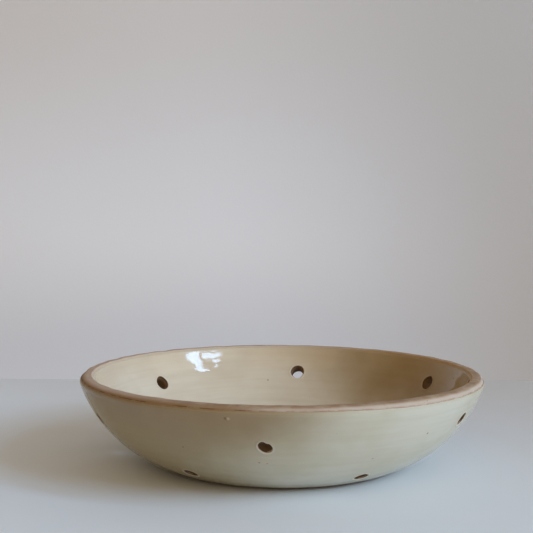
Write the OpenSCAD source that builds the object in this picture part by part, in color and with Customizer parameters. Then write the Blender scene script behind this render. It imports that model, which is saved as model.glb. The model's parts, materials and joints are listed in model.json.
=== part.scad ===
// Berry colander bowl: a thrown stoneware bowl with rings of drain holes, glazed inside and out.
// The rim's flat top, the hole walls and the foot are bare clay.
// Millimetres, +Z up, origin on the table under the middle of the foot, front towards -Y.

/* [Bowl] */
// Diameter of the clay rim at its widest
rim_d = 230; // [215:1:245]
// Height of the rim's top above the table
bowl_h = 52; // [46:1:60]
// Diameter of the circle where the wall comes down to the table
foot_d = 128; // [116:1:138]
// Lean of the wall from upright where it meets the rim, in degrees
rim_lean = 19.5; // [15:0.5:24]
// Thickness of the clay at the rim
rim_t = 7.5; // [6:0.25:9]
// Thickness of the clay half way down the wall
wall_t = 6.8; // [5.5:0.1:8]
// Thickness of the clay in the middle of the floor, before the foot is trimmed
floor_t = 7; // [5:0.25:9]

/* [Rim] */
// Radius of the round outer edge of the rim
lip_r = 3.5; // [2:0.25:4.5]
// Radius of the softened inner edge of the rim
soft_r = 1; // [0.5:0.1:1.5]

/* [Foot] */
// Width of the ring that the bowl rests on
foot_ring_w = 7; // [5:0.5:10]
// Depth trimmed out of the underside inside that ring
recess_depth = 1.5; // [0.5:0.1:2.5]
// Width of the slope from the ring up to the trimmed underside
recess_slope_w = 2; // [1:0.25:4]

/* [Drain holes] */
// Bore of a drain hole
hole_d = 7.4; // [6:0.1:8.5]
// Diameter of a hole's mouth inside the bowl, where its edge was opened
mouth_d = 9.6; // [8.6:0.1:11]
// Depth over which a mouth narrows to the bore
mouth_depth = 1.6; // [0.8:0.1:3]
// Height of the upper ring of holes, on the outside of the wall
upper_ring_z = 31.3; // [26:0.1:36]
// Height of the lower ring of holes, on the outside of the wall
lower_ring_z = 8.5; // [7:0.1:14]
// Radius of the ring of holes through the floor
floor_ring_r = 30; // [22:0.5:38]
// Direction of the first hole of the upper ring, in degrees to the right of the front
first_turn = -5; // [-30:1:30]

/* [Glaze] */
// Thickness of both coats of glaze
glaze_t = 0.5; // [0.3:0.05:0.8]
// Width of the raised bead of glaze round a hole
bead_w = 1.3; // [0.8:0.1:2]
// Height of that bead above the coat
bead_rise = 0.4; // [0.2:0.05:0.7]
// Bare clay between the rim's top and the outer coat
outer_bare = 2.8; // [1.5:0.1:5]
// Bare clay between the rim's top and the inner coat
inner_bare = 1.2; // [1:0.1:3]
// Bare clay between the table and the outer coat
foot_bare = 1.2; // [0.8:0.1:3]

/* [Hidden] */
$fn = 180;

// Overrun of every cut past the face it goes through
cut_over = 2;
// Share of the height at which wall_t is measured
mid_height_share = 0.5;
// Each ring was laid out by hand, so a hole sits a few degrees off even spacing
upper_hand = [0, 4, 0.5, -2, -5, -1];
lower_hand = [1.5, 3, -2, 2, -3, 1];
floor_hand = [3, -2, 1, -4, 2, 0];
// and a little above or below its ring's height
upper_rise = [0, 3.9, 2.2, -0.3, -2.3, 0.6];
lower_rise = [1.2, 0.4, -0.3, 0.2, -2, 0.3];
ring_count = len(upper_hand);
ring_step = 360 / ring_count;
lower_turn = first_turn - ring_step / 2;
// Reach of a hole's mouth to each side of the clay's face, for a face that leans across its axis
mouth_reach = mouth_d / 2;

// The lip is a small circle. The outside of the wall is one arc, which touches the lip from
// outside at the angle rim_lean and comes down through the edge of the foot.
lip_c = [rim_d / 2 - lip_r, bowl_h - lip_r];
foot_edge = [foot_d / 2, 0];
lip_dir = [cos(rim_lean), -sin(rim_lean)];
foot_to_lip = lip_c - foot_edge;
lip_step = (foot_to_lip * foot_to_lip - lip_r ^ 2) / (2 * (foot_to_lip * lip_dir + lip_r));
arc_r = lip_r + lip_step;
arc_c = lip_c - lip_step * lip_dir;

// The inside is one arc too. It touches the level of the floor, and passes the clay's
// thickness at the rim and half way down the wall. Heights here are above the floor.
function inside_point(z, t) = [arc_c[0] + sqrt((arc_r - t) ^ 2 - (arc_c[1] - z) ^ 2), z - floor_t];
rim_in = inside_point(bowl_h, rim_t);
mid_in = inside_point(bowl_h * mid_height_share, wall_t);
well_a = mid_in[1] - rim_in[1];
well_b = 2 * (mid_in[0] * rim_in[1] - rim_in[0] * mid_in[1]);
well_k = mid_in[1] * (rim_in * rim_in) - rim_in[1] * (mid_in * mid_in);
well_x = (sqrt(well_b ^ 2 - 4 * well_a * well_k) - well_b) / (2 * well_a);
well_r = ((rim_in[0] - well_x) ^ 2 + rim_in[1] ^ 2) / (2 * rim_in[1]);
well_c = [well_x, floor_t + well_r];

// Centre of the softened inner edge, which touches the rim's top and the inside arc
soft_z = bowl_h - soft_r;
soft_c = [well_x + sqrt((well_r + soft_r) ^ 2 - (well_c[1] - soft_z) ^ 2), soft_z];

// A wall hole runs square to the outside of the wall, so its axis passes through arc_c
function hole_tilt(z) = acos((z - arc_c[1]) / arc_r);
function hole_dir(z) = [sin(hole_tilt(z)), cos(hole_tilt(z))];
// Distance from arc_c to the inside of the bowl along that axis
function inside_reach(z) =
    let (away = arc_c - well_c, along = hole_dir(z) * away)
    sqrt(along ^ 2 - away * away + well_r ^ 2) - along;

// Half section of all that lies within the outer surface, grown by skin
module outside(skin) {
    intersection() {
        square([rim_d, bowl_h]);
        union() {
            square([arc_c[0], bowl_h]);
            intersection() {
                translate(arc_c) circle(arc_r + skin);
                polygon([arc_c, arc_c + rim_d * lip_dir, [arc_c[0], -rim_d]]);
            }
            translate(lip_c) circle(lip_r + skin);
            polygon([arc_c, lip_c, [lip_c[0], arc_c[1]]]);
        }
    }
}

// Half section of the hollow, drawn in by skin
module inside(skin) {
    intersection() {
        square([rim_d, bowl_h + cut_over]);
        union() {
            translate([0, floor_t + skin]) square([well_x, bowl_h]);
            intersection() {
                translate(well_c) circle(well_r - skin);
                translate([well_x, 0]) square([rim_d, rim_d]);
            }
            difference() {
                polygon([well_c, soft_c, [soft_c[0], well_c[1]]]);
                translate(soft_c) circle(soft_r);
            }
        }
    }
}

// Half section of what is trimmed out of the underside
module foot_recess() {
    ring_in = foot_d / 2 - foot_ring_w;
    polygon([
        [0, -cut_over],
        [ring_in, -cut_over],
        [ring_in, 0],
        [ring_in - recess_slope_w, recess_depth],
        [0, recess_depth]
    ]);
}

// Puts a child on a wall hole's axis, with +Z running outwards from arc_c
module on_wall_hole(turn, z) {
    rotate([0, 0, turn])
        translate([0, -arc_c[0], arc_c[1]])
            rotate([hole_tilt(z), 0, 0])
                children();
}

// Every hole through the wall. $face_in and $face_out are the distances along the axis of the
// clay's inner and outer faces.
module at_wall_holes() {
    for (i = [0 : ring_count - 1]) {
        upper_z = upper_ring_z + upper_rise[i];
        lower_z = lower_ring_z + lower_rise[i];
        on_wall_hole(first_turn + i * ring_step + upper_hand[i], upper_z)
            let ($face_in = inside_reach(upper_z), $face_out = arc_r) children();
        on_wall_hole(lower_turn + i * ring_step + lower_hand[i], lower_z)
            let ($face_in = inside_reach(lower_z), $face_out = arc_r) children();
    }
}

// Every hole through the floor: one in the middle and a ring round it
module at_floor_holes() {
    let ($face_in = 0, $face_out = floor_t) {
        translate([0, 0, floor_t]) rotate([180, 0, 0]) children();
        for (i = [0 : ring_count - 1])
            rotate([0, 0, first_turn + i * ring_step + floor_hand[i]])
                translate([0, -floor_ring_r, floor_t])
                    rotate([180, 0, 0])
                        children();
    }
}

// What one hole takes out of the clay: a bore, opened to a wider mouth inside the bowl
module drain_cut() {
    bore_h = $face_out - $face_in + 2 * cut_over;
    translate([0, 0, $face_in - cut_over]) cylinder(d = hole_d, h = bore_h);
    translate([0, 0, $face_in]) cylinder(d1 = mouth_d, d2 = hole_d, h = mouth_depth);
    translate([0, 0, $face_in - mouth_reach]) cylinder(d = mouth_d, h = mouth_reach);
}

// A round pillar through the inner or the outer face at a hole, for the coats and their beads
module inner_pillar(d) {
    translate([0, 0, $face_in - mouth_reach]) cylinder(d = d, h = 2 * mouth_reach);
}

module outer_pillar(d) {
    translate([0, 0, $face_out - mouth_reach]) cylinder(d = d, h = 2 * mouth_reach);
}

// Half section of a coat on the inside of the bowl
module inner_coat(thickness) {
    intersection() {
        square([rim_d, bowl_h - inner_bare]);
        difference() {
            inside(0);
            inside(thickness);
        }
    }
}

// Half section of a coat on the outside of the wall
module outer_coat(thickness) {
    intersection() {
        translate([0, foot_bare]) square([rim_d, bowl_h - outer_bare - foot_bare]);
        difference() {
            outside(thickness);
            outside(0);
        }
    }
}

// The thrown clay, trimmed under the foot and pierced
module clay_body() {
    color("#a98f78")
        difference() {
            rotate_extrude() difference() {
                outside(0);
                inside(0);
                foot_recess();
            }
            at_wall_holes() drain_cut();
            at_floor_holes() drain_cut();
        }
}

// The coat poured inside, which stops short of every mouth and stands up in a bead round it
module inner_glaze() {
    color("#d3cdb9")
        difference() {
            union() {
                rotate_extrude() inner_coat(glaze_t);
                intersection() {
                    rotate_extrude() inner_coat(glaze_t + bead_rise);
                    union() {
                        at_wall_holes() inner_pillar(mouth_d + 2 * bead_w);
                        at_floor_holes() inner_pillar(mouth_d + 2 * bead_w);
                    }
                }
            }
            at_wall_holes() inner_pillar(mouth_d);
            at_floor_holes() inner_pillar(mouth_d);
        }
}

// The coat on the outside, with its bead round the bore of every wall hole
module outer_glaze() {
    color("#c9c6b4")
        difference() {
            union() {
                rotate_extrude() outer_coat(glaze_t);
                intersection() {
                    rotate_extrude() outer_coat(glaze_t + bead_rise);
                    at_wall_holes() outer_pillar(hole_d + 2 * bead_w);
                }
            }
            at_wall_holes() outer_pillar(hole_d);
        }
}

clay_body();
inner_glaze();
outer_glaze();
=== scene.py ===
import json
import math

import bmesh
import bpy
import numpy as np
from mathutils import Matrix, Vector


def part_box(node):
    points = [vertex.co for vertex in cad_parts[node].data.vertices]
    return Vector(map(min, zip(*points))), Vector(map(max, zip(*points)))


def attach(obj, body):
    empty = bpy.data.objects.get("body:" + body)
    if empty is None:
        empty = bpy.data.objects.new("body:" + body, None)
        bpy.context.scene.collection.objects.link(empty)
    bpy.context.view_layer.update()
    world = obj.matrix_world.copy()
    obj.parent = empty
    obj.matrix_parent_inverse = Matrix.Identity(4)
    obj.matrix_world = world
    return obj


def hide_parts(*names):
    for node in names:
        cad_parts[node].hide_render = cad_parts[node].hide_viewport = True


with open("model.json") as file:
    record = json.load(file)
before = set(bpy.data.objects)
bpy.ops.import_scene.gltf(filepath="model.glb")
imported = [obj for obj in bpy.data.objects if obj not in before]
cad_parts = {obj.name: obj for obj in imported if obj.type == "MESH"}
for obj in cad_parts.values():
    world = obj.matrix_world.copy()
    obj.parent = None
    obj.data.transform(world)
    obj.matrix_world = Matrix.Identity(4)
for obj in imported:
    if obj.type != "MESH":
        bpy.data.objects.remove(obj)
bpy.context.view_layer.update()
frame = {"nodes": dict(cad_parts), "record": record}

# A thrown stoneware berry bowl: one clay body with an inner and an outer coat of glaze.
# Metres, +Z up, origin on the table under the middle of the foot, front towards -Y.
# A turn is an angle round +Z from the front towards +X. Along the clay's outline, "s" runs from the
# middle of the floor out and up to the rim, over it, down the outside and in under the foot.
MM = 0.001

# Sizes that the frame gives
_, clay_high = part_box("clay_body")
RIM_R = clay_high.x
BOWL_H = clay_high.z
FLOOR_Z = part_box("inner_glaze")[0].z
GLAZE_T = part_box("outer_glaze")[1].x - RIM_R
INNER_COAT_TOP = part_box("inner_glaze")[1].z
OUTER_COAT_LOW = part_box("outer_glaze")[0].z
OUTER_COAT_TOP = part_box("outer_glaze")[1].z
clay_points = np.array([v.co for v in frame["nodes"]["clay_body"].data.vertices])
clay_radii = np.hypot(clay_points[:, 0], clay_points[:, 1])
on_table = clay_points[:, 2] < 0.01 * MM  # allows for rounding
FOOT_R = clay_radii[on_table].max()
FOOT_INSIDE_R = clay_radii[on_table].min()
RECESS_Z = clay_points[clay_radii < FOOT_INSIDE_R / 2, 2].min()

# Sizes of the outline that the frame's boxes don't give
RIM_LEAN = math.radians(19.5)
RIM_T = 7.5 * MM
WALL_T = 6.8 * MM
LIP_R = 3.5 * MM
SOFT_R = 1 * MM
RECESS_SLOPE_W = 2 * MM
BORE_R = 3.7 * MM
MOUTH_R = 4.8 * MM

# Steps of the meshes. Rows have COLUMNS points, but FLOOR_COLUMNS on the floor, inside up to FINE_S and
# underneath within the foot ring, and HUB_COLUMNS round the middle hole.
OUTLINE_STEP = 0.05 * MM
ROW_STEP = 1.25 * MM
CLAY_STEP = 2 * ROW_STEP
COLUMNS = 480
FLOOR_COLUMNS = COLUMNS // 2
HUB_COLUMNS = FLOOR_COLUMNS // 2
FINE_S = 64 * MM

# Centre of the rim's round outer edge
LIP_C = np.array([RIM_R - LIP_R, BOWL_H - LIP_R])


def wall_arc():
    """Centre and radius of the arc that the outside of the wall follows."""
    lean = np.array([math.cos(RIM_LEAN), -math.sin(RIM_LEAN)])
    span = LIP_C - np.array([FOOT_R, 0])
    step = (span @ span - LIP_R ** 2) / (2 * (span @ lean + LIP_R))
    return LIP_C - step * lean, LIP_R + step


ARC_C, ARC_R = wall_arc()


def well_arc():
    """Centre and radius of the arc that the inside follows from the floor up to the rim."""

    def inside_point(z, thickness):
        out = math.sqrt((ARC_R - thickness) ** 2 - (ARC_C[1] - z) ** 2)
        return np.array([ARC_C[0] + out, z - FLOOR_Z])

    rim, mid = inside_point(BOWL_H, RIM_T), inside_point(BOWL_H / 2, WALL_T)
    a = mid[1] - rim[1]
    b = 2 * (mid[0] * rim[1] - rim[0] * mid[1])
    k = mid[1] * (rim @ rim) - rim[1] * (mid @ mid)
    x = (math.sqrt(b * b - 4 * a * k) - b) / (2 * a)
    radius = ((rim[0] - x) ** 2 + rim[1] ** 2) / (2 * rim[1])
    return np.array([x, FLOOR_Z + radius]), radius


WELL_C, WELL_R = well_arc()
soft_z = BOWL_H - SOFT_R
SOFT_C = np.array([WELL_C[0] + math.sqrt((WELL_R + SOFT_R) ** 2 - (WELL_C[1] - soft_z) ** 2), soft_z])


def arc_points(centre, radius, start, end):
    """Points along an arc, its angles measured from straight outwards towards up."""
    count = max(2, int(abs(end - start) * radius / OUTLINE_STEP))
    angle = np.linspace(start, end, count)
    return np.stack([centre[0] + radius * np.cos(angle), centre[1] + radius * np.sin(angle)], -1)


def line_points(start, end):
    """Points along a straight line."""
    start, end = np.array(start, float), np.array(end, float)
    count = max(2, int(np.linalg.norm(end - start) / OUTLINE_STEP))
    return start + (end - start) * np.linspace(0, 1, count)[:, None]


def angle_of(vector):
    return math.atan2(vector[1], vector[0])


foot_angle = angle_of(np.array([FOOT_R, 0]) - ARC_C)
soft_angle = angle_of(WELL_C - SOFT_C) % math.tau
OUTLINE_PARTS = [
    line_points((0, FLOOR_Z), (WELL_C[0], FLOOR_Z)),
    arc_points(WELL_C, WELL_R, -math.pi / 2, angle_of(SOFT_C - WELL_C)),
    arc_points(SOFT_C, SOFT_R, soft_angle, math.pi / 2),
    line_points((SOFT_C[0], BOWL_H), (LIP_C[0], BOWL_H)),
    arc_points(LIP_C, LIP_R, math.pi / 2, -RIM_LEAN),
    arc_points(ARC_C, ARC_R, -RIM_LEAN, foot_angle),
    line_points((FOOT_R, 0), (FOOT_INSIDE_R, 0)),
    line_points((FOOT_INSIDE_R, 0), (FOOT_INSIDE_R - RECESS_SLOPE_W, RECESS_Z)),
    line_points((FOOT_INSIDE_R - RECESS_SLOPE_W, RECESS_Z), (0, RECESS_Z)),
]


def joined_outline():
    """The whole outline as points an even step apart, with s at each and at the end of each part."""
    points, ends = [], []
    for part in OUTLINE_PARTS:
        points.append(part if not points else part[1:])
        ends.append(sum(len(p) for p in points) - 1)
    points = np.concatenate(points)
    s = np.concatenate([[0], np.cumsum(np.linalg.norm(np.diff(points, axis=0), axis=1))])
    return points, s, s[ends]


outline, outline_s, part_ends = joined_outline()
# Where the inside arc, the softened edge, the flat top, the lip, the outside arc, the foot ring, its
# slope and the trimmed underside end
S_SOFT, S_TOP, S_FLAT, S_LIP, S_FOOT, S_RING, S_SLOPE, S_END = part_ends[1:]
outline_slope = np.gradient(outline, outline_s, axis=0)
outline_slope /= np.linalg.norm(outline_slope, axis=1)[:, None]
outline_normal = np.stack([-outline_slope[:, 1], outline_slope[:, 0]], -1)


def on_outline(turn, s, lift):
    """The point at a turn and an s, lifted off the clay."""
    r, z = (np.interp(s, outline_s, outline[:, k]) + lift * np.interp(s, outline_s, outline_normal[:, k])
            for k in (0, 1))
    return np.stack([r * np.sin(turn), -r * np.cos(turn), z], -1)


# A ripple's waves, each one shorter and fainter than the one before, and the radius where they have
# their true length
RIPPLE_WAVES = 14
WAVE_SHORTER = math.sqrt(0.75)
WAVE_FAINTER = 0.8
RIPPLE_R = 90 * MM


def ripple(turn, s, seed, longest):
    """A smooth seeded waviness between about -1 and 1 that closes round the bowl."""
    rng = np.random.default_rng(seed)
    total, weight = 0, 0
    for k in range(RIPPLE_WAVES):
        size = longest * WAVE_SHORTER ** k
        around = round(rng.uniform(-1, 1) * math.tau * RIPPLE_R / size)
        along = rng.uniform(-1, 1) * math.tau / size
        share = WAVE_FAINTER ** k
        total = total + share * np.cos(around * turn + along * s + rng.uniform(0, math.tau))
        weight += share ** 2 / 2
    return total / math.sqrt(weight) / 2


def smooth(value, start, end):
    """0 before start and 1 after end, with a soft step between."""
    t = np.clip((value - start) / (end - start), 0, 1)
    return t * t * (3 - 2 * t)


# How far a hole's edge strays from a circle, as a share of its radius, and how much more or less than
# that it strays in the outer coat, in the clay and at the lump under the rim
HOLE_STRAY = 0.03
OUTER_STRAY = 1.6
CLAY_STRAY = 0.5
NODULE_STRAY = 4
# Rounds that find where a line meets the clay's face
MEET_ROUNDS = 12


class Hole:
    """A drain hole. Its axis runs outwards from its hub, on the floor or at the centre of the wall's arc."""

    def __init__(self, name, middle, seed):
        self.name = name
        self.on_floor = name.startswith("floor")
        self.in_middle = np.hypot(*middle[:2]) <= MM
        self.turn = 0.0 if self.in_middle else math.atan2(middle[0], -middle[1])
        self.right = np.array([math.cos(self.turn), math.sin(self.turn), 0])
        if self.on_floor:
            self.hub = np.array([middle[0], middle[1], FLOOR_Z])
            self.axis = np.array([0, 0, -1.0])
        else:
            out = ARC_C[0]
            self.hub = np.array([out * math.sin(self.turn), -out * math.cos(self.turn), ARC_C[1]])
            self.axis = (middle - self.hub) / np.linalg.norm(middle - self.hub)
        self.up = np.cross(self.axis, self.right)
        rng = np.random.default_rng(seed)
        self.waves = [(n, rng.normal(0, HOLE_STRAY / n), rng.uniform(0, math.tau)) for n in (2, 3, 4, 5)]

    def meet(self, outside, rho, phi):
        """Turn and s where lines beside the axis, rho away from it at angle phi, meet the clay's face."""
        side = rho[:, None] * (np.cos(phi)[:, None] * self.right + np.sin(phi)[:, None] * self.up)
        start = self.hub + side
        if self.on_floor:
            r = np.hypot(start[:, 0], start[:, 1])
            return np.arctan2(start[:, 0], -start[:, 1]), (S_END - r if outside else r)
        centre, radius = (ARC_C, ARC_R) if outside else (WELL_C, WELL_R)
        reach = np.full(len(rho), radius)
        for _ in range(MEET_ROUNDS):
            point = start + reach[:, None] * self.axis
            r = np.hypot(point[:, 0], point[:, 1])
            gap = np.stack([r - centre[0], point[:, 2] - centre[1]], -1)
            far = np.linalg.norm(gap, axis=1)
            radial = self.axis[0] * point[:, 0] / r + self.axis[1] * point[:, 1] / r
            lean = (gap[:, 0] * radial + gap[:, 1] * self.axis[2]) / far
            reach = reach - (far - radius) / lean
        angle = np.arctan2(gap[:, 1], gap[:, 0])
        if outside:
            s = S_LIP + (-RIM_LEAN - angle) * ARC_R
        else:
            s = WELL_C[0] + (angle + math.pi / 2) * WELL_R
        return np.arctan2(point[:, 0], -point[:, 1]), s

    def shape(self, phi, amount=1.0):
        """The radius of the hole's edge at an angle, as a share of a true circle's."""
        return 1 + amount * sum(size * np.cos(n * phi + start) for n, size, start in self.waves)


def find_holes():
    """Every drain hole, from the openings that the record states."""
    found = []
    for seed, opening in enumerate(frame["record"]["physics"]["openings"]):
        if "_drain_" in opening["name"]:
            low, high = np.array(opening["box_m"])
            found.append(Hole(opening["name"], (low + high) / 2, seed))
    return found


HOLES = find_holes()
WALL_HOLES = [hole for hole in HOLES if not hole.on_floor]
FLOOR_HOLES = [hole for hole in HOLES if hole.on_floor and not hole.in_middle]
MIDDLE_HOLE = next(hole for hole in HOLES if hole.in_middle)

# A ring round a hole starts at the lower left corner of its square gap, this part of a turn from its right
CORNER = -3 / 8


def new_object(name, data):
    """A new object in the scene."""
    made = bpy.data.objects.new(name, data)
    bpy.context.scene.collection.objects.link(made)
    return made


def smooth_object(name, mesh, material):
    """A new object with a smooth mesh of one material."""
    mesh.polygons.foreach_set("use_smooth", [True] * len(mesh.polygons))
    mesh.materials.append(material)
    return new_object(name, mesh)


class Net:
    """The points and faces of one piece. A point also keeps its turn, its s and its lift off the clay."""

    def __init__(self):
        self.points, self.marks, self.faces, self.count = [], [], [], 0

    def add(self, points, turn, s, lift=0.0):
        """Adds points and returns their numbers."""
        self.points.append(points)
        self.marks.append(np.stack(np.broadcast_arrays(turn, s, lift), -1))
        ids = np.arange(self.count, self.count + len(points))
        self.count += len(points)
        return ids

    def add_lifted(self, turn, s, lift):
        turn, s, lift = np.broadcast_arrays(turn, s, lift)
        return self.add(on_outline(turn, s, lift), turn, s, lift)

    def join(self, first, second, keep=None):
        """Faces between two closed rows, of which one may have twice as many points."""
        if len(first) == len(second):
            quads = np.stack([first, np.roll(first, -1), np.roll(second, -1), second], -1)
            self.faces.extend(map(tuple, quads if keep is None else quads[keep]))
            return
        few, many = (first, second) if len(first) < len(second) else (second, first)
        after, even, odd = np.roll(few, -1), many[0::2], many[1::2]
        for trio in ((few, after, odd), (few, odd, even), (after, np.roll(even, -1), odd)):
            self.faces.extend(map(tuple, np.stack(trio, -1)))

    def lay(self, rows, lift, patches=(), stray=None):
        """Lays rows [(s, columns)] and leaves a square gap for each patch, which rings then fill.
        lift(turn, s) moves points off the clay and stray(turn, s) along the outline. Returns the first
        row, the last row and the last ring of each patch's hole."""
        grid = []
        for s, columns in rows:
            turn = np.arange(columns) * math.tau / columns
            strayed = s + (stray(turn, s) if stray else np.zeros(columns))
            grid.append((self.add_lifted(turn, strayed, lift(turn, strayed)), strayed))
        keep = [np.ones(columns, bool) for _, columns in rows]
        ends = {}
        for patch in patches:
            ends[patch["hole"].name] = self.fill(rows, grid, keep, lift, **patch)
        for i in range(len(rows) - 1):
            self.join(grid[i][0], grid[i + 1][0], keep[i])
        return grid[0][0], grid[-1][0], ends

    def fill(self, rows, grid, keep, lift, hole, outside, wide, tall, rings):
        """Cuts a square gap out of the rows round a hole, fills it with rings and returns the last one.
        The gap reaches wide columns and tall rows to each side of the hole's middle. rings(hole, phi)
        gives each ring's distance from the axis, its share of the lift and what is added to that."""
        _, hole_s = hole.meet(outside, np.zeros(1), np.zeros(1))
        row = int(np.argmin([abs(s - hole_s[0]) for s, _ in rows]))
        columns = rows[row][1]
        step = math.tau / columns
        column = round(hole.turn % math.tau / step)
        left, right, low, high = column - wide, column + wide, row - tall, row + tall
        for i in range(low, high):
            keep[i][np.arange(left, right) % columns] = False
        loop = [(low, j) for j in range(left, right)] + [(i, right) for i in range(low, high)]
        loop += [(high, j) for j in range(right, left, -1)] + [(i, left) for i in range(high, low, -1)]
        previous = np.array([grid[i][0][j % columns] for i, j in loop])
        edge_turn = np.array([j * step for _, j in loop])
        edge_s = np.array([grid[i][1][j % columns] for i, j in loop])
        phi = (CORNER + np.arange(len(loop)) / len(loop)) * math.tau * (-1 if outside else 1)
        for k, (rho, share, extra) in enumerate(rings(hole, phi)):
            turn, s = hole.meet(outside, rho, phi)
            turn = hole.turn % math.tau + (turn - hole.turn + math.pi) % math.tau - math.pi
            blends = np.linspace(0, 1, wide // 2 + 2)[1:] if k == 0 else [1]
            for blend in blends:
                ring_turn = edge_turn + (turn - edge_turn) * blend
                ring_s = edge_s + (s - edge_s) * blend
                ring = self.add_lifted(ring_turn, ring_s, lift(ring_turn, ring_s) * share + extra)
                self.join(previous, ring)
                previous = ring
        return previous

    def build(self, name, material, label):
        """Makes the mesh, smooth and with its faces outwards, and lets it ride on the bowl.
        label(points, turn, s, lift) gives the values that the material reads at each point."""
        mesh = bpy.data.meshes.new(name)
        points = np.concatenate(self.points)
        mesh.from_pydata(settle(points).tolist(), [], self.faces)
        for key, values in label(points, *np.concatenate(self.marks).T).items():
            attribute = mesh.attributes.new(key, "FLOAT", "POINT")
            attribute.data.foreach_set("value", values.astype(np.float32))
        shape = bmesh.new()
        shape.from_mesh(mesh)
        bmesh.ops.delete(shape, geom=[v for v in shape.verts if not v.link_faces], context="VERTS")
        bmesh.ops.recalc_face_normals(shape, faces=shape.faces)
        shape.to_mesh(mesh)
        shape.free()
        piece = smooth_object(name, mesh, material)
        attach(piece, "root")
        return piece


# How far the thrown bowl strays from a true round one, always inside the frame's box
OVAL_SHARE = 0.0016
OVAL_TURN = math.radians(35)
RIM_DIP_SHARE = 0.004
RIM_DIP_TURN = math.radians(110)


def settle(points):
    """The bowl's slight ovalness and the dip of its rim, the same for every piece."""
    turn = np.arctan2(points[:, :1], -points[:, 1:2])
    height = np.clip(points[:, 2:] / BOWL_H, 0, 1)
    oval = (1 + np.cos(2 * (turn - OVAL_TURN))) * OVAL_SHARE / 2
    dip = (1 + np.cos(2 * (turn - RIM_DIP_TURN))) * RIM_DIP_SHARE / 2
    return points * (1 - np.concatenate([oval, oval, dip], axis=1) * height)


def steps(start, end, step):
    """Even steps from start to end, both included, about as long as step."""
    return list(np.linspace(start, end, max(2, round(abs(end - start) / step) + 1)))


# The coats of glaze. Each one thins out over EDGE_W to nothing at its own edge, where rows lie closer
# together up to EDGE_ROWS_W. Its back lies a little inside the clay, so that no gap shows.
EDGE_W = 2.0 * MM
EDGE_OFFSETS = [gap * MM for gap in (0, 0.04, 0.12, 0.25, 0.45, 0.7, 1.0, 1.5, 2.2, 3.1)]
EDGE_ROWS_W = 4.2 * MM
SUNK = 0.03 * MM


def s_at_height(z, after, before):
    """Where the outline passes a height, between two places where it only climbs or only falls."""
    part = (outline_s > after) & (outline_s < before)
    heights, places = outline[part, 1], outline_s[part]
    way = 1 if heights[-1] > heights[0] else -1
    return float(np.interp(way * z, way * heights, places))


INNER_EDGE_S = s_at_height(INNER_COAT_TOP, WELL_C[0], S_TOP)
LIP_EDGE_S = s_at_height(OUTER_COAT_TOP, S_FLAT, S_FOOT)
FOOT_EDGE_S = s_at_height(OUTER_COAT_LOW, S_FLAT, S_FOOT)


def rounded(gap):
    """The share of its full thickness that a coat has this far from its edge."""
    t = np.clip(gap / EDGE_W, 0, 1)
    return np.sqrt(1 - (1 - t) ** 2)


def inner_stray(turn, s):
    """The inner coat's upper edge wanders by a few tenths of a millimetre."""
    wander = 0.25 * MM * ripple(turn, 0, seed=5, longest=60 * MM) - 0.2 * MM
    return wander * smooth(s, INNER_EDGE_S - 6 * MM, INNER_EDGE_S)


def inner_edge_gap(turn, s):
    """How far a place lies below the inner coat's edge."""
    return INNER_EDGE_S + inner_stray(turn, INNER_EDGE_S) - s


def inner_lift(turn, s):
    """How far the inner coat's face stands off the clay. It is wavy and follows the thrown spiral."""
    waves = 0.12 * ripple(turn, s, seed=3, longest=26 * MM)
    spiral = 0.07 * np.cos(math.tau * (s / (7.5 * MM) - turn / math.tau))
    return GLAZE_T * (1 + waves + spiral) * rounded(inner_edge_gap(turn, s)) - SUNK


def outer_stray(turn, s):
    """The outer coat's upper edge stands higher to the left of the front, and both edges wander."""
    top = 0.3 * MM * ripple(turn, 0, seed=8, longest=70 * MM) - (0.55 - 0.4 * np.sin(turn)) * MM
    foot = 0.4 * MM * ripple(turn, 0, seed=9, longest=50 * MM)
    return (top * (1 - smooth(s, LIP_EDGE_S, LIP_EDGE_S + 7 * MM))
            + foot * smooth(s, FOOT_EDGE_S - 5 * MM, FOOT_EDGE_S))


def outer_edge_gaps(turn, s):
    """How far a place lies below the outer coat's upper edge and above its lower one."""
    top = s - LIP_EDGE_S - outer_stray(turn, LIP_EDGE_S)
    foot = FOOT_EDGE_S + outer_stray(turn, FOOT_EDGE_S) - s
    return top, foot


def outer_lift(turn, s):
    """How far the outer coat's face stands off the clay."""
    waves = 0.1 * ripple(turn, s, seed=4, longest=30 * MM)
    spiral = 0.05 * np.cos(math.tau * (s / (6.5 * MM) + turn / math.tau))
    return GLAZE_T * (0.9 + waves + spiral) * rounded(np.minimum(*outer_edge_gaps(turn, s))) - SUNK


# The bead of glaze round a hole, from its foot on the coat to where it ends inside the hole: how many
# millimetres each ring lies from the hole's edge, its share of the coat and its height above that
BEAD_ON_COAT = [(2.2, 1, 0), (1.7, 1, 0.02), (1.3, 1, 0.08), (1.0, 1, 0.15), (0.7, 1, 0.19),
                (0.45, 1, 0.15), (0.23, 1, 0.03), (0.08, 0.8, -0.05), (0.0, 0.4, -0.05)]
BEAD_IN_HOLE = [(-0.03, 0, 0), (0.02, 0, -0.25)]
BEAD_END = 0.15 * MM
BEAD_END_DEPTH = 0.5 * MM
INNER_EDGE_R = 4.4 * MM
OUTER_EDGE_R = 3.7 * MM

# The front hole as the photograph shows it: long one way, with a sag of glaze over its upper edge
FRONT_HOLE = "upper_drain_1"
FRONT_EDGE_R = 3.42 * MM
FRONT_LONG = 0.13
FRONT_LONG_PHI = math.radians(128)
SAG = 0.75 * MM
SAG_PHI = math.radians(78)
SAG_SPREAD = math.radians(22)


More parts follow.
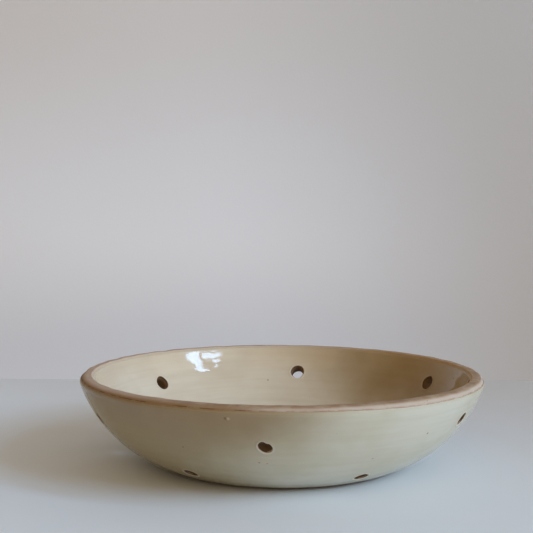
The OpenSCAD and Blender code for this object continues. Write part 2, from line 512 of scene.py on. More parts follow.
def edge_radius(hole, phi, outside):
    """Radius of a hole's edge in the glaze, at an angle round its axis."""
    if not outside:
        return INNER_EDGE_R * hole.shape(phi)
    if hole.name == FRONT_HOLE:
        long = 1 + FRONT_LONG * np.cos(2 * (phi - FRONT_LONG_PHI))
        off = np.angle(np.exp(1j * (phi - SAG_PHI)))
        return FRONT_EDGE_R * long - SAG * np.exp(-(off / SAG_SPREAD) ** 2)
    return OUTER_EDGE_R * hole.shape(phi, OUTER_STRAY)


def bead(outside, clay_r):
    """The rings of a bead, which ends against the clay's own edge."""

    def rings(hole, phi):
        edge = edge_radius(hole, phi, outside)
        made = [(edge + gap * MM, share, height * MM) for gap, share, height in BEAD_ON_COAT + BEAD_IN_HOLE]
        made.append((np.maximum(edge, clay_r) + BEAD_END, 0, -BEAD_END_DEPTH))
        return made

    return rings


def hidden_rings(outside, clay_r):
    """The rings of a coat's back, which lies inside the clay."""

    def rings(hole, phi):
        edge = np.maximum(edge_radius(hole, phi, outside), clay_r)
        return [(edge + 2 * MM, 1, 0), (edge + 0.4 * MM, 1, 0)]

    return rings


def hidden_lift(turn, s):
    return np.full_like(turn, -2 * SUNK)


def stretch(start, end, step, columns=COLUMNS):
    """Rows an even step apart along the outline."""
    return [(s, columns) for s in steps(start, end, step)]


def patches_at(holes, outside, wide, tall, rings):
    """What Net.fill is told about each hole."""
    return [dict(hole=hole, outside=outside, wide=wide, tall=tall, rings=rings) for hole in holes]


def coat(name, rows, lift, stray, patches, back_patches, material, label):
    """A closed coat: its shown face, its back just inside the clay, and the edges that join them."""
    net = Net()
    first, last, ends = net.lay(rows, lift, patches, stray)
    back_first, back_last, back_ends = net.lay(rows, hidden_lift, back_patches, stray)
    net.join(first, back_first)
    net.join(last, back_last)
    for key, ring in ends.items():
        if key in back_ends:
            net.join(ring, back_ends[key])
        else:
            net.faces.append(tuple(ring))
    return net.build(name, material, label)


# Distances from a hole are only told apart up to this one
FAR_GAP = 12 * MM


def hole_gap(points, lift, outside):
    """How far points of a coat lie from the nearest hole's edge, below zero where they go down inside it."""
    gap = np.full(len(points), FAR_GAP)
    for hole in HOLES:
        face = hole.axis * (outside_reach(hole) if outside else inside_reach(hole)) + hole.hub
        near = np.linalg.norm(points - face, axis=1) < FAR_GAP
        side = points[near] - hole.hub
        side = side - (side @ hole.axis)[:, None] * hole.axis
        phi = np.arctan2(side @ hole.up, side @ hole.right)
        gap[near] = np.minimum(gap[near], np.linalg.norm(side, axis=1) - edge_radius(hole, phi, outside))
    return np.where(lift < -3 * SUNK, lift, gap)


def inner_labels(points, turn, s, lift):
    """The inner coat's distances from its upper edge and from the nearest hole."""
    lip = inner_edge_gap(turn, s)
    return {"lip": lip, "end": lip, "gap": hole_gap(points, lift, False)}


def outer_labels(points, turn, s, lift):
    """The outer coat's distances from its upper edge, from either edge and from the nearest hole."""
    lip, foot = outer_edge_gaps(turn, s)
    return {"lip": lip, "end": np.minimum(lip, foot), "gap": hole_gap(points, lift, True)}


def clay_labels(points, turn, s, lift):
    """The clay's place along the outline, and its distance from the nearest edge of a coat."""
    edges = [inner_edge_gap(turn, s), *outer_edge_gaps(turn, s)]
    return {"s": s, "gap": np.abs(edges).min(0)}


# The rows round the hole in the middle of the floor: distance from its edge and height of the bead
MIDDLE_ROWS = [(gap * MM, height * MM) for gap, _, height in reversed(BEAD_ON_COAT)]
MIDDLE_EDGE_W = 0.8 * MM
AROUND_HOLE = 3 * MM


def inner_coat(material):
    """The coat poured inside, open at each hole, with a bead round its mouth."""
    middle = edge_radius(MIDDLE_HOLE, np.zeros(1), False)[0]
    rows = [(middle + gap, HUB_COLUMNS) for gap, _ in MIDDLE_ROWS]
    rows += stretch(middle + AROUND_HOLE, FINE_S, ROW_STEP, FLOOR_COLUMNS)
    rows += stretch(FINE_S + ROW_STEP, INNER_EDGE_S - EDGE_ROWS_W, ROW_STEP)
    rows += [(INNER_EDGE_S - gap, COLUMNS) for gap in reversed(EDGE_OFFSETS)]

    def lift(turn, s):
        bump = np.interp(s - middle, *zip(*MIDDLE_ROWS))
        return inner_lift(turn, s) * rounded((s - middle) * EDGE_W / MIDDLE_EDGE_W) + bump

    def patches(rings):
        made = patches_at(WALL_HOLES, False, wide=8, tall=8, rings=rings)
        return made + patches_at(FLOOR_HOLES, False, wide=10, tall=6, rings=rings)

    shown, back = patches(bead(False, MOUTH_R)), patches(hidden_rings(False, MOUTH_R))
    return coat("inner_glaze_coat", rows, lift, inner_stray, shown, back, material,
                inner_labels)


def face_point(turn, z, outside):
    """The point of the glazed wall at a turn in degrees and a height."""
    centre, radius = (ARC_C, ARC_R + GLAZE_T) if outside else (WELL_C, WELL_R - GLAZE_T)
    r = centre[0] + math.sqrt(radius ** 2 - (centre[1] - z) ** 2)
    return np.array([r * math.sin(math.radians(turn)), -r * math.cos(math.radians(turn)), z])


# A small lump in the outer coat, just under the rim: its turn in degrees, its height, and the radius and
# rise in millimetres of its rings
NODULE_TURN = -13.65
NODULE_Z = 45.8 * MM
NODULE_RINGS = [(1.7, 0), (1.25, 0.02), (0.95, 0.07), (0.7, 0.16), (0.42, 0.25), (0.16, 0.29)]


def nodule_rings(hole, phi):
    shape = hole.shape(phi, NODULE_STRAY)
    return [(rho * MM * shape, 1, height * MM) for rho, height in NODULE_RINGS]


def outer_coat(material):
    """The coat on the outside, from just under the rim to just above the foot."""
    rows = [(LIP_EDGE_S + gap, COLUMNS) for gap in EDGE_OFFSETS]
    rows += stretch(LIP_EDGE_S + EDGE_ROWS_W, FOOT_EDGE_S - EDGE_ROWS_W, ROW_STEP)
    rows += [(FOOT_EDGE_S - gap, COLUMNS) for gap in reversed(EDGE_OFFSETS)]
    lump = Hole("nodule", face_point(NODULE_TURN, NODULE_Z, True), seed=5)
    shown = patches_at(WALL_HOLES, True, wide=7, tall=7, rings=bead(True, BORE_R))
    shown += patches_at([lump], True, wide=3, tall=3, rings=nodule_rings)
    back = patches_at(WALL_HOLES, True, wide=7, tall=7, rings=hidden_rings(True, BORE_R))
    return coat("outer_glaze_coat", rows, outer_lift, outer_stray, shown, back, material,
                outer_labels)


def clay_lift(turn, s):
    """The clay keeps to its outline under the glaze, and is a little uneven where it is bare."""
    bare = smooth(s, INNER_EDGE_S, S_TOP) * (1 - smooth(s, LIP_EDGE_S, LIP_EDGE_S + 1 * MM))
    return -0.16 * MM * bare * np.maximum(0, 1 + ripple(turn, s, seed=11, longest=14 * MM))


def clay_rings(outside):
    """The rings of the clay's edge at a hole, slightly rounded."""

    def rings(hole, phi):
        edge = (BORE_R if outside else MOUTH_R) * hole.shape(phi, CLAY_STRAY)
        level = [(edge + gap * MM, 1, 0) for gap in (1.6, 0.6, 0.15)]
        return level + [(edge, 1, -0.12 * MM)]

    return rings


def clay_rows():
    """The clay's rows, closer together over the rim and round the foot's edges."""
    rows = [(MOUTH_R + gap * MM, HUB_COLUMNS) for gap in (0, 0.3, 0.8, 1.5)]
    rows += stretch(MOUTH_R + AROUND_HOLE, FINE_S, CLAY_STEP, FLOOR_COLUMNS)
    rows += stretch(FINE_S + CLAY_STEP, S_SOFT - 1 * MM, CLAY_STEP)
    rows += stretch(S_SOFT, LIP_EDGE_S + 1 * MM, 0.45 * MM)
    rows += stretch(LIP_EDGE_S + 3 * MM, FOOT_EDGE_S - 1.2 * MM, CLAY_STEP)
    rows += stretch(FOOT_EDGE_S - 0.4 * MM, S_FOOT + 1 * MM, 0.3 * MM)
    rows += stretch(S_FOOT + 2 * MM, S_RING - 1 * MM, CLAY_STEP)
    rows += stretch(S_RING - 0.5 * MM, S_SLOPE + 0.5 * MM, 0.4 * MM)
    rows += stretch(S_SLOPE + 2 * MM, S_END - BORE_R - AROUND_HOLE, CLAY_STEP, FLOOR_COLUMNS)
    return rows + [(S_END - BORE_R - gap * MM, HUB_COLUMNS) for gap in (1.5, 0.6, 0)]


def clay(material):
    """The fired clay, pierced right through."""

    def patches(outside):
        rings = clay_rings(outside)
        made = patches_at(WALL_HOLES, outside, wide=8, tall=4, rings=rings)
        return made + patches_at(FLOOR_HOLES, outside, wide=10, tall=3, rings=rings)

    net = Net()
    rows = clay_rows()
    split = next(i for i, (s, _) in enumerate(rows) if s > S_LIP)
    first, seam, ends_in = net.lay(rows[:split], clay_lift, patches(False))
    next_row, last, ends_out = net.lay(rows[split:], clay_lift, patches(True))
    net.join(seam, next_row)
    for hole in WALL_HOLES + FLOOR_HOLES:
        inside, outside = ends_in[hole.name], ends_out[hole.name]
        n = len(inside)
        # The outer ring runs the other way round from another corner
        turned = outside[(3 * n // 4 - np.arange(n)) % n]
        bore(net, hole, inside, turned)
    bore(net, MIDDLE_HOLE, first, last)
    return net.build("clay_bowl", material, clay_labels)


# How rough the wall of a hole is, as a share of its radius
BORE_ROUGH = 0.012
BORE_SEED = 40


def bore(net, hole, inside, outside):
    """The wall of a hole: its mouth narrows to the bore, which runs on to the outer face. The middle
    hole's rings are rows of the floor, which start at the front."""
    n = len(inside)
    if hole is MIDDLE_HOLE:
        phi = np.arange(n) * math.tau / n
        right, up = np.array([0, -1, 0]), np.array([1, 0, 0])
    else:
        phi = (CORNER + np.arange(n) / n) * math.tau
        right, up = hole.right, hole.up
    start, end = inside_reach(hole), outside_reach(hole)
    previous = inside
    for depth, radius in bore_steps(end - start):
        rho = radius * (hole.shape(phi, CLAY_STRAY) if hole is not MIDDLE_HOLE else 1)
        rough = 1 + BORE_ROUGH * ripple(phi, depth, seed=BORE_SEED + len(hole.name), longest=5 * MM)
        side = (rho * rough)[:, None] * (np.cos(phi)[:, None] * right + np.sin(phi)[:, None] * up)
        points = hole.hub + side + (start + depth) * hole.axis
        ring = net.add(points, np.full(n, hole.turn), np.full(n, -depth))
        net.join(previous, ring)
        previous = ring
    net.join(previous, outside)


def bore_steps(length):
    """Depth and radius of the rings down a hole's wall."""
    made = [(0.1 * MM, MOUTH_R - 0.07 * MM), (0.5 * MM, MOUTH_R - 0.36 * MM)]
    made += [(1.0 * MM, MOUTH_R - 0.7 * MM), (1.5 * MM, BORE_R + 0.04 * MM)]
    made += [(depth, BORE_R) for depth in steps(2.2 * MM, length - 1.0 * MM, 0.8 * MM)]
    made.append((length - 0.35 * MM, BORE_R))
    return made


def inside_reach(hole):
    """How far along its axis a hole starts, at the clay's inner face."""
    if hole.on_floor:
        return 0.0
    away = ARC_C - WELL_C
    radial = math.hypot(hole.axis[0], hole.axis[1])
    along = away @ np.array([radial, hole.axis[2]])
    return math.sqrt(along ** 2 - away @ away + WELL_R ** 2) - along


def outside_reach(hole):
    """How far along its axis a hole ends, at the clay's outer face."""
    return FLOOR_Z - RECESS_Z if hole.on_floor else ARC_R


class Paint:
    """The nodes of one material, added one after another, and its colour so far."""

    def __init__(self, name):
        self.material = bpy.data.materials.new(name)
        self.material.use_nodes = True
        self.tree = self.material.node_tree
        self.shader = self.tree.nodes["Principled BSDF"]
        self.place = self.tree.nodes.new("ShaderNodeTexCoord").outputs["Object"]

    def put(self, node, inputs):
        """Links each input of a node to another node's output, or sets it to a value."""
        for key, value in inputs.items():
            if isinstance(value, bpy.types.NodeSocket):
                self.tree.links.new(value, node.inputs[key])
            else:
                node.inputs[key].default_value = value

    def add(self, kind, inputs, **settings):
        node = self.tree.nodes.new("ShaderNode" + kind)
        for key, value in settings.items():
            setattr(node, key, value)
        self.put(node, inputs)
        return node

    def calc(self, operation, first, second):
        return self.add("Math", {0: first, 1: second}, operation=operation).outputs[0]

    def times(self, first, second):
        return self.calc("MULTIPLY", first, second)

    def plus(self, first, second):
        return self.calc("ADD", first, second)

    def minus(self, first, second):
        return self.calc("SUBTRACT", first, second)

    def band(self, value, start, end, low=0, high=1):
        """A soft step from low to high while the value goes from start to end."""
        inputs = {"Value": value, "From Min": start, "From Max": end, "To Min": low, "To Max": high}
        return self.add("MapRange", inputs, interpolation_type="SMOOTHSTEP").outputs["Result"]

    def mark(self, label):
        """What the mesh says under a label at each point."""
        return self.add("Attribute", {}, attribute_name=label).outputs["Fac"]

    def axis(self, letter):
        return self.add("SeparateXYZ", {"Vector": self.place}).outputs[letter]

    def moved(self, place, shift):
        """A place moved along all three axes, so that a pattern differs from the others."""
        return self.add("VectorMath", {0: place, 1: (shift, shift, shift)}, operation="ADD").outputs[0]

    def noise(self, size, detail, shift, flat=1):
        """Noise with features of a size. A flat below 1 draws them out round the bowl."""
        scale = (flat / size, flat / size, 1 / size)
        scaled = self.add("VectorMath", {0: self.place, 1: scale}, operation="MULTIPLY").outputs[0]
        inputs = {"Vector": self.moved(scaled, shift), "Scale": 1, "Detail": detail}
        return self.add("TexNoise", inputs).outputs["Fac"]

    def mix(self, factor, first, second):
        """The first colour, and the second in its place by the factor."""
        first, second = ((*c, 1) if isinstance(c, tuple) else c for c in (first, second))
        return self.add("Mix", {0: factor, 6: first, 7: second}, data_type="RGBA").outputs[2]

    def cover(self, factor, colour):
        """Puts a colour over the colour so far, by the factor."""
        self.colour = self.mix(factor, self.colour, colour)

    def dots(self, size, radius, share, shift):
        """Small round dots: cells of a size, of which a share holds a dot of about the radius."""
        cells = self.add("TexVoronoi", {"Vector": self.moved(self.place, shift), "Scale": 1 / size})
        chosen = self.add("SeparateColor", {"Color": cells.outputs["Color"]})
        has = self.band(chosen.outputs[0], 1 - share, 1 - share + 0.02)
        inside = self.minus(self.times(chosen.outputs[1], radius / size), cells.outputs["Distance"])
        return self.times(self.band(inside, -0.1 * radius / size, 0.25 * radius / size), has)

    def spot(self, point, radius):
        """One round spot at a point."""
        away = self.add("VectorMath", {0: self.place, 1: tuple(point)}, operation="DISTANCE")
        return self.band(away.outputs["Value"], radius * 0.4, radius, 1, 0)

    def bump(self, height, depth, under=None):
        """Relief of a depth, on top of other relief where there is some."""
        inputs = {"Height": height, "Distance": depth, "Strength": 1}
        if under is not None:
            inputs["Normal"] = under
        return self.add("Bump", inputs).outputs["Normal"]

    def finish(self, roughness, normal):
        self.put(self.shader, {"Base Color": self.colour, "Roughness": roughness, "Normal": normal})
        return self.material


# Colours of the glaze
CREAM = (0.72, 0.62, 0.475)
CREAM_PALE = (0.755, 0.675, 0.53)
CREAM_OCHRE = (0.60, 0.47, 0.31)
# Painted shade for the inner coat's right side, also used in its throwing streaks and thin edges
CREAM_SHADE_AND_STREAK = (0.285, 0.175, 0.05)
CELADON = (0.61, 0.575, 0.435)
CELADON_PALE = (0.67, 0.64, 0.52)
# Painted shade for the outer coat's left side, also used in its throwing streaks and thin edges
CELADON_SHADE_AND_STREAK = (0.38, 0.302, 0.165)
BEAD_PALE = (0.78, 0.74, 0.64)
RIM_SHADE = (0.325, 0.235, 0.13)
RIM_OCHRE = (0.58, 0.44, 0.27)
# Painted shade and painted highlight on the lump under the rim
NODULE_SHADE = (0.22, 0.14, 0.06)
NODULE_HIGHLIGHT = (0.47, 0.40, 0.27)

# Colours of the iron in the glaze and the clay
IRON = (0.17, 0.075, 0.028)
IRON_PALE = (0.40, 0.22, 0.13)
IRON_RED = (0.36, 0.15, 0.085)
# Painted shade where a coat turns down into a hole
HOLE_EDGE_SHADE = (0.07, 0.033, 0.014)

# Colours of the bare clay
CLAY = (0.36, 0.22, 0.12)
CLAY_PALE = (0.45, 0.32, 0.21)
CLAY_DARK = (0.24, 0.15, 0.10)
CLAY_GOLD = (0.29, 0.17, 0.065)
CLAY_LIGHT = (0.52, 0.38, 0.29)
LIP_CREAM = (0.60, 0.50, 0.40)
# Darker clay inside the holes, partly painted shade
HOLE_BROWN_AND_SHADE = (0.18, 0.10, 0.04)
WASH_PALE = (0.64, 0.52, 0.385)
# Painted shade on the wash over the rim's inner edge, to the right
WASH_SHADE = (0.50, 0.33, 0.17)
FOOT_BROWN = (0.20, 0.12, 0.07)

# Colours of the table and the wall, with painted shade that makes both darker to the right
TABLE = (0.86, 0.93, 1)
TABLE_PALE = (0.89, 0.95, 1)
TABLE_SHADE = (0.645, 0.625, 0.60)
PLASTER = (0.86, 0.868, 0.905)
PLASTER_PALE = (0.88, 0.888, 0.925)
PLASTER_LOW_SHADE = (0.68, 0.705, 0.77)
PLASTER_HIGH_SHADE = (0.775, 0.735, 0.71)
PLASTER_RIGHT_SHADE = (0.57, 0.53, 0.495)

# How each coat looks. Painted shade darkens and browns it from one place across the bowl to another, on the
# side turned away from the window, and that line leans about SHADE_MIDDLE_Z. Under the rim it is browner
# down to a
# depth: brown_across has two places across and the share at each.
SHADE_MIDDLE_Z = 35 * MM
INNER_LOOK = dict(main=CREAM, pale=CREAM_PALE, shift=1,
                  bead_share=0.12, iron_and_edge_shade_share=0.08, roughness=0.07,
                  shade_and_streak=CREAM_SHADE_AND_STREAK, shade_from=-20 * MM, shade_to=105 * MM, shade_lean=0.6,
                  brown=RIM_OCHRE, brown_depth=24 * MM, brown_across=(-100 * MM, 100 * MM, 0.35, 0.45))
OUTER_LOOK = dict(main=CELADON, pale=CELADON_PALE, shift=11,
                  bead_share=0.35, iron_and_edge_shade_share=0.9, roughness=0.17,
                  shade_and_streak=CELADON_SHADE_AND_STREAK, shade_from=30 * MM, shade_to=-45 * MM, shade_lean=-0.6,
                  brown=RIM_SHADE, brown_depth=30 * MM, brown_across=(45 * MM, -35 * MM, 0, 1))


def glaze_ground(p, look):
    """The clouded glaze with painted shade to one side, and faint throwing streaks."""
    shift = look["shift"]
    p.colour = p.mix(p.band(p.noise(34 * MM, 3, shift), 0.35, 0.65), look["main"], look["pale"])
    wander = p.times(p.minus(p.noise(30 * MM, 3, shift + 12), 0.5), 50 * MM)
    leaned = p.plus(p.axis("X"), p.times(p.minus(p.axis("Z"), SHADE_MIDDLE_Z), look["shade_lean"]))
    # Painted shade on the side of the coat turned away from the window
    p.cover(p.band(p.plus(leaned, wander), look["shade_from"], look["shade_to"]), look["shade_and_streak"])
    streak = p.band(p.noise(2.2 * MM, 3, shift + 4, 0.05), 0.35, 0.75)
    p.cover(p.times(streak, 0.14), p.mix(0.5, look["shade_and_streak"], CREAM_OCHRE))


def brown_and_shade_under_rim(p, look):
    """Adds the browner band under the rim: ochre of thinner glaze on the inner coat, painted shade to the
    left on the outer coat.
    """
    depth = p.band(p.mark("lip"), 0, look["brown_depth"], 1, 0)
    under = p.times(depth, p.band(p.axis("X"), *look["brown_across"]))
    clouds = p.band(p.noise(20 * MM, 2, look["shift"] + 9), 0.3, 0.7, 0.7, 1)
    # Inside the ochre of thinner glaze all round; outside painted shade on the left
    p.cover(p.times(under, clouds), look["brown"])


def glaze_edges(p, look):
    """Adds the pale bead of each hole and its dark edge, which is painted shade, and the brown and gold
    where the coat thins out, the brown partly painted shade over the lit edge.
    """
    gap, lip, end, share = p.mark("gap"), p.mark("lip"), p.mark("end"), look["iron_and_edge_shade_share"]
    bead = p.times(p.band(gap, 1.2 * MM, 0.4 * MM), p.band(gap, -0.1 * MM, 0.2 * MM))
    p.cover(p.times(bead, look["bead_share"]), BEAD_PALE)
    # Browner where the coat thins out, and painted shade that dims its lit edge
    p.cover(p.band(end, 1.8 * MM, 0.6 * MM, 0, 0.38 * share), look["shade_and_streak"])
    broken = p.band(p.noise(3.5 * MM, 3, look["shift"] + 2), 0.36, 0.56)
    iron = p.times(p.band(end, 0.4 * MM, 0.05 * MM), p.band(broken, 0, 1, 0.25 * share, share))
    p.cover(iron, IRON_PALE)
    p.cover(p.band(gap, 0.3 * MM, 0, 0, 0.8), IRON)
    # Painted shade where the coat turns down into a hole
    p.cover(p.band(gap, 0.05 * MM, -0.08 * MM), HOLE_EDGE_SHADE)
    left_lip = p.times(p.band(lip, 1.3 * MM, 0.3 * MM), p.band(p.axis("X"), 0, -50 * MM))
    p.cover(p.times(left_lip, p.band(broken, 0, 1, 0.65 * share, 1.1 * share)), CLAY_GOLD)


def glaze_marks(p, look, spots):
    """Adds iron specks all over and a few single marks."""
    large = p.dots(7 * MM, 0.8 * MM, 0.16, look["shift"] * 10 * MM)
    small = p.dots(3.1 * MM, 0.4 * MM, 0.08, look["shift"] * 20 * MM)
    p.cover(p.times(p.calc("MAXIMUM", large, small), 0.5), IRON_PALE)
    for point, radius, stain in spots:
        p.cover(p.times(p.spot(point, radius), 0.75), stain)


def glaze(name, look, spots):
    """A coat of glaze, glossy but for its edges, with a slow wave and a fine orange peel."""
    p = Paint(name)
    shift, roughness = look["shift"], look["roughness"]
    glaze_ground(p, look)
    brown_and_shade_under_rim(p, look)
    glaze_edges(p, look)
    glaze_marks(p, look, spots)
    wave = p.bump(p.noise(11 * MM, 1, shift + 6), 0.16 * MM)
    peel = p.bump(p.noise(1.6 * MM, 2, shift + 7), 0.012 * MM, wave)
    gloss = p.band(p.noise(6 * MM, 3, shift + 8), 0.3, 0.75, roughness * 0.8, roughness * 1.35)
    edge = p.calc("MINIMUM", p.mark("gap"), p.mark("end"))
    return p.finish(p.plus(gloss, p.band(edge, 1.6 * MM, 0.5 * MM, 0, 0.35)), peel)


def lip_and_wash(p, side):
    """Adds gold or cream along the lip, and the thin wash of glaze over the rim's inner edge, with painted
    shade to the right.
    """
    s = p.mark("s")
    past_flat = p.band(s, S_FLAT + 1.5 * MM, S_FLAT + 3.2 * MM)
    on_lip = p.times(past_flat, p.band(s, S_FOOT - 20 * MM, S_FOOT - 30 * MM))
    p.cover(p.times(on_lip, 0.85), p.mix(p.band(side, -55 * MM, 30 * MM), CLAY_GOLD, LIP_CREAM))
    # Painted shade on the wash to the right, the side turned away from the window
    wash = p.mix(p.band(p.axis("X"), -20 * MM, 90 * MM), WASH_PALE, WASH_SHADE)
    p.cover(p.band(s, S_TOP + 0.1 * MM, S_TOP - 0.4 * MM, 0, 0.9), wash)


def clay_iron(p, side):
    """Adds the broken iron line beside the glaze's edge, dark to the left and red to the right."""
    broken = p.band(p.noise(4.8 * MM, 3, 7), 0.4, 0.58)
    beside = p.times(p.band(p.mark("gap"), 0.9 * MM, 0.2 * MM), broken)
    iron = p.times(beside, p.band(side, 20 * MM, -30 * MM, 0.4, 0.9))
    iron = p.times(iron, p.band(p.mark("s"), S_TOP, S_TOP + 1 * MM, 0.08, 1))
    p.cover(iron, p.mix(p.band(side, 20 * MM, -30 * MM), IRON_RED, IRON))


def foot_and_holes(p):
    """Adds brown at the foot, plain clay under it and dark brown in the holes, partly the clay's own and
    partly painted shade.
    """
    s = p.mark("s")
    p.cover(p.band(s, S_FOOT - 4 * MM, S_FOOT - 1 * MM, 0, 0.75), FOOT_BROWN)
    p.cover(p.band(s, S_FOOT + 0.5 * MM, S_FOOT + 2 * MM, 0, 0.7), CLAY)
    # Darker clay inside the holes, partly the clay's own and partly painted shade
    p.cover(p.band(s, 0.1 * MM, -0.3 * MM), HOLE_BROWN_AND_SHADE)


def fired_clay():
    """Bare stoneware: tan and lined on the rim, golden or pale along the lip, dark in the holes with painted
    shade.
    """
    p = Paint("bare_clay")
    across = p.axis("X")
    p.colour = p.mix(p.band(p.noise(6 * MM, 4, 1), 0.35, 0.7), CLAY, CLAY_PALE)
    lines = p.band(p.noise(1.1 * MM, 2, 3, 0.05), 0.45, 0.7)
    p.cover(p.times(lines, 0.5), CLAY_DARK)
    p.cover(p.band(across, -30 * MM, -100 * MM, 0, 0.8), CLAY_LIGHT)
    side = p.plus(across, p.times(p.minus(p.noise(12 * MM, 3, 5), 0.5), 80 * MM))
    lip_and_wash(p, side)
    clay_iron(p, side)
    p.cover(p.times(p.dots(1.6 * MM, 0.4 * MM, 0.3, 0), 0.6), CLAY_DARK)
    foot_and_holes(p)
    grain = p.bump(p.noise(0.9 * MM, 4, 8), 0.09 * MM)
    ridges = p.bump(lines, 0.06 * MM, grain)
    return p.finish(p.band(p.noise(3 * MM, 2, 9), 0.3, 0.7, 0.72, 0.92), ridges)


def table_top():
    """A smooth pale table, with painted shade towards the right and the back."""
    p = Paint("table")
    p.colour = p.mix(p.band(p.noise(0.16, 3, 2), 0.3, 0.7), TABLE, TABLE_PALE)
    # Painted shade towards the right and the back
    p.cover(p.band(p.plus(p.axis("X"), p.axis("Y")), -0.25, 0.48), TABLE_SHADE)
    grain = p.bump(p.noise(4 * MM, 3, 3), 0.03 * MM)
    return p.finish(p.band(p.noise(30 * MM, 3, 4), 0.3, 0.7, 0.7, 0.8), grain)


def room_wall():
    """A plain pale painted wall, with painted shade that makes it bluer low down, warmer high up and darker
    to the right.
    """
    p = Paint("wall")
    across, up = p.axis("X"), p.axis("Z")
    p.colour = p.mix(p.band(p.noise(0.5, 2, 5), 0.3, 0.7), PLASTER, PLASTER_PALE)
    # Painted shade low down, high up and to the right
    p.cover(p.band(up, 0.12, -0.06), PLASTER_LOW_SHADE)
    p.cover(p.band(up, 0.12, 0.42), PLASTER_HIGH_SHADE)
    p.cover(p.band(p.plus(across, p.times(up, 0.25)), -0.08, 0.45), PLASTER_RIGHT_SHADE)
    return p.finish(0.8, p.bump(p.noise(3 * MM, 3, 6), 0.1 * MM))


# Small marks on the glaze: turn in degrees, height, radius and colour. The last two are painted shade and a
# painted highlight on the lump under the rim.
INNER_SPOTS = [(184.6, 29.9 * MM, 0.7 * MM, IRON), (100.3, 44 * MM, 0.9 * MM, IRON)]
OUTER_SPOTS = [(-28.2, 27.9 * MM, 0.6 * MM, IRON), (41.9, 32.4 * MM, 0.8 * MM, IRON),
               (-7.0, 21.9 * MM, 0.8 * MM, IRON_PALE), (-4.8, 21.5 * MM, 0.55 * MM, IRON_PALE),
               (NODULE_TURN - 0.6, NODULE_Z, 1.1 * MM, NODULE_SHADE),
               (NODULE_TURN + 0.1, NODULE_Z, 1.1 * MM, NODULE_HIGHLIGHT)]


def spots_at(spots, outside):
    return [(face_point(turn, z, outside), radius, stain) for turn, z, radius, stain in spots]


clay_piece = clay(fired_clay())
inner_piece = inner_coat(glaze("inner_glaze", INNER_LOOK, spots_at(INNER_SPOTS, False)))
outer_piece = outer_coat(glaze("outer_glaze", OUTER_LOOK, spots_at(OUTER_SPOTS, True)))
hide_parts("clay_body")
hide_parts("inner_glaze")
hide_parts("outer_glaze")

# The photograph's camera, fitted to the bowl's outline
IMAGE_PX = 533
FOCAL_PX = 1000
SENSOR_W = 36
CAMERA_PLACE = (-0.00901, -0.5777, 0.1413)
CAMERA_DOWN = math.radians(2.909)
CAMERA_ROLL = math.radians(0.206)


def make_camera():
    data = bpy.data.cameras.new("camera")
    data.sensor_width = SENSOR_W
    data.lens = SENSOR_W * FOCAL_PX / IMAGE_PX
    camera = new_object("camera", data)
    camera.matrix_world = (Matrix.Translation(CAMERA_PLACE)
                           @ Matrix.Rotation(math.pi / 2 - CAMERA_DOWN, 4, "X")
                           @ Matrix.Rotation(CAMERA_ROLL, 4, "Z"))
    bpy.context.scene.camera = camera


make_camera()

# The table, whose rounded back edge stands clear of the wall behind it
TABLE_FRONT = 2.5
TABLE_BACK = 0.277
TABLE_HALF_W = 2.5
TABLE_EDGE_R = 8 * MM
TABLE_EDGE_H = 40 * MM
EDGE_STRIP = 50 * MM
BEND_POINTS = 10
WALL_Y = 0.74
WALL_HALF_W = 4.0
WALL_LOW, WALL_TOP = -1.5, 3.5


def sheet(name, section, half_w, material):
    """A sheet that runs straight across the view, from a section of (y, z) points."""
    points = [(x, y, z) for x in (-half_w, half_w) for y, z in section]
    n = len(section)
    mesh = bpy.data.meshes.new(name)
    mesh.from_pydata(points, [], [(i, n + i, n + i + 1, i + 1) for i in range(n - 1)])
    made = smooth_object(name, mesh, material)


def table_section():
    """The flat top, its rounded back edge and the face below that."""
    flat = [(-TABLE_FRONT, 0), (TABLE_BACK - EDGE_STRIP, 0)]
    bend = [(TABLE_BACK + TABLE_EDGE_R * math.sin(angle), TABLE_EDGE_R * (math.cos(angle) - 1))
            for angle in np.linspace(0, math.pi / 2, BEND_POINTS)]
    return flat + bend + [(TABLE_BACK + TABLE_EDGE_R, -TABLE_EDGE_H)]


sheet("table", table_section(), TABLE_HALF_W, table_top())
sheet("wall", [(WALL_Y, WALL_LOW), (WALL_Y, WALL_TOP)], WALL_HALF_W, room_wall())

# The light: a window to the right of the front, a soft glow lower and further round to the right,
# warm light from the room in front, and a low light that only the wall behind the table is turned to.
# The first three look at the bowl, from a turn and a rise in degrees and a distance.
WINDOW_AT = (60, 33, 2.6)
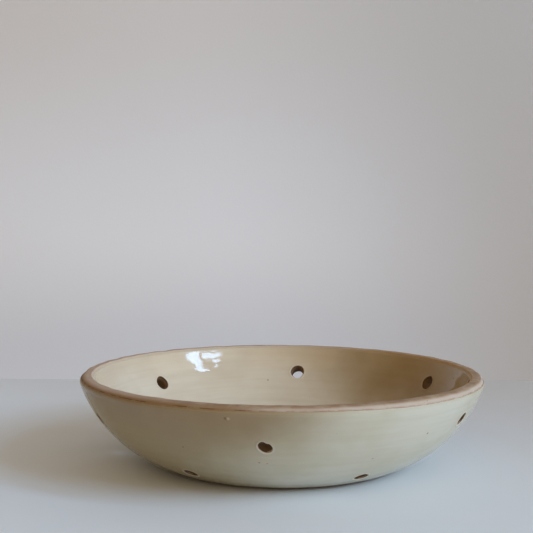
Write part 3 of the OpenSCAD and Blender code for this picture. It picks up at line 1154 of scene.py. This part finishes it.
# Panes between leaves and bars: middle across and up, width and height
PANES = [(0.26, -0.46, 0.42, 0.42), (0.28, -0.04, 0.36, 0.42), (0.30, 0.38, 0.22, 0.42),
         (-0.36, -0.39, 0.62, 0.52), (-0.25, 0.18, 0.20, 0.32)]
PANE_POWER = 32
SKY = (0.60, 0.91, 1.30)
GLOW_AT = (68, 17, 2.9)
GLOW_SIZE = (5.2, 2.2)
GLOW_POWER = 27
HAZE = (1.13, 1.02, 0.95)
LAMP_AT = (-10, 32, 3)
LAMP_SIZE = (3, 2)
LAMP_POWER = 9
WARM = (1.22, 0.80, 0.40)
WALL_LIGHT_PLACE = (-0.35, 0.38, -0.3)
WALL_LIGHT_TILT = math.radians(115)
WALL_LIGHT_SIZE = (1.2, 0.3)
WALL_LIGHT_POWER = 0.82
WHITE = (1, 1, 1)
ROOM_FILL = (1.0, 0.82, 0.58)
ROOM_FILL_POWER = 0.26


def facing_bowl(turn, rise, distance, across=0, up=0):
    """The place of a light that looks at the bowl."""
    turn, rise = math.radians(turn), math.radians(rise)
    out = Vector((math.cos(rise) * math.sin(turn), -math.cos(rise) * math.cos(turn), math.sin(rise)))
    return (Matrix.Translation(out * distance + Vector((0, 0, BOWL_H)))
            @ Matrix.Rotation(turn, 4, "Z") @ Matrix.Rotation(math.pi / 2 - rise, 4, "X")
            @ Matrix.Translation((across, up, 0)))


def area_light(name, place, size, power, colour):
    """A soft rectangular light."""
    data = bpy.data.lights.new(name, "AREA")
    data.shape = "RECTANGLE"
    data.size, data.size_y = size
    data.energy = power
    data.color = colour
    new_object(name, data).matrix_world = place


def make_window():
    """The window's panes, which share its power by their area."""
    whole = sum(width * height for _, _, width, height in PANES)
    for number, (across, up, width, height) in enumerate(PANES):
        place = facing_bowl(*WINDOW_AT, across, up)
        power = PANE_POWER * width * height / whole
        area_light(f"pane_{number}", place, (width, height), power, SKY)


def fill_room():
    """Faint even light from all round."""
    world = bpy.data.worlds.new("room")
    world.use_nodes = True
    background = world.node_tree.nodes["Background"]
    background.inputs["Color"].default_value = (*ROOM_FILL, 1)
    background.inputs["Strength"].default_value = ROOM_FILL_POWER
    bpy.context.scene.world = world


make_window()
area_light("glow", facing_bowl(*GLOW_AT), GLOW_SIZE, GLOW_POWER, HAZE)
area_light("lamp", facing_bowl(*LAMP_AT), LAMP_SIZE, LAMP_POWER, WARM)
behind_table = Matrix.Translation(WALL_LIGHT_PLACE) @ Matrix.Rotation(WALL_LIGHT_TILT, 4, "X")
area_light("wall_light", behind_table, WALL_LIGHT_SIZE, WALL_LIGHT_POWER, WHITE)
fill_room()
bpy.context.scene.view_settings.view_transform = "Standard"
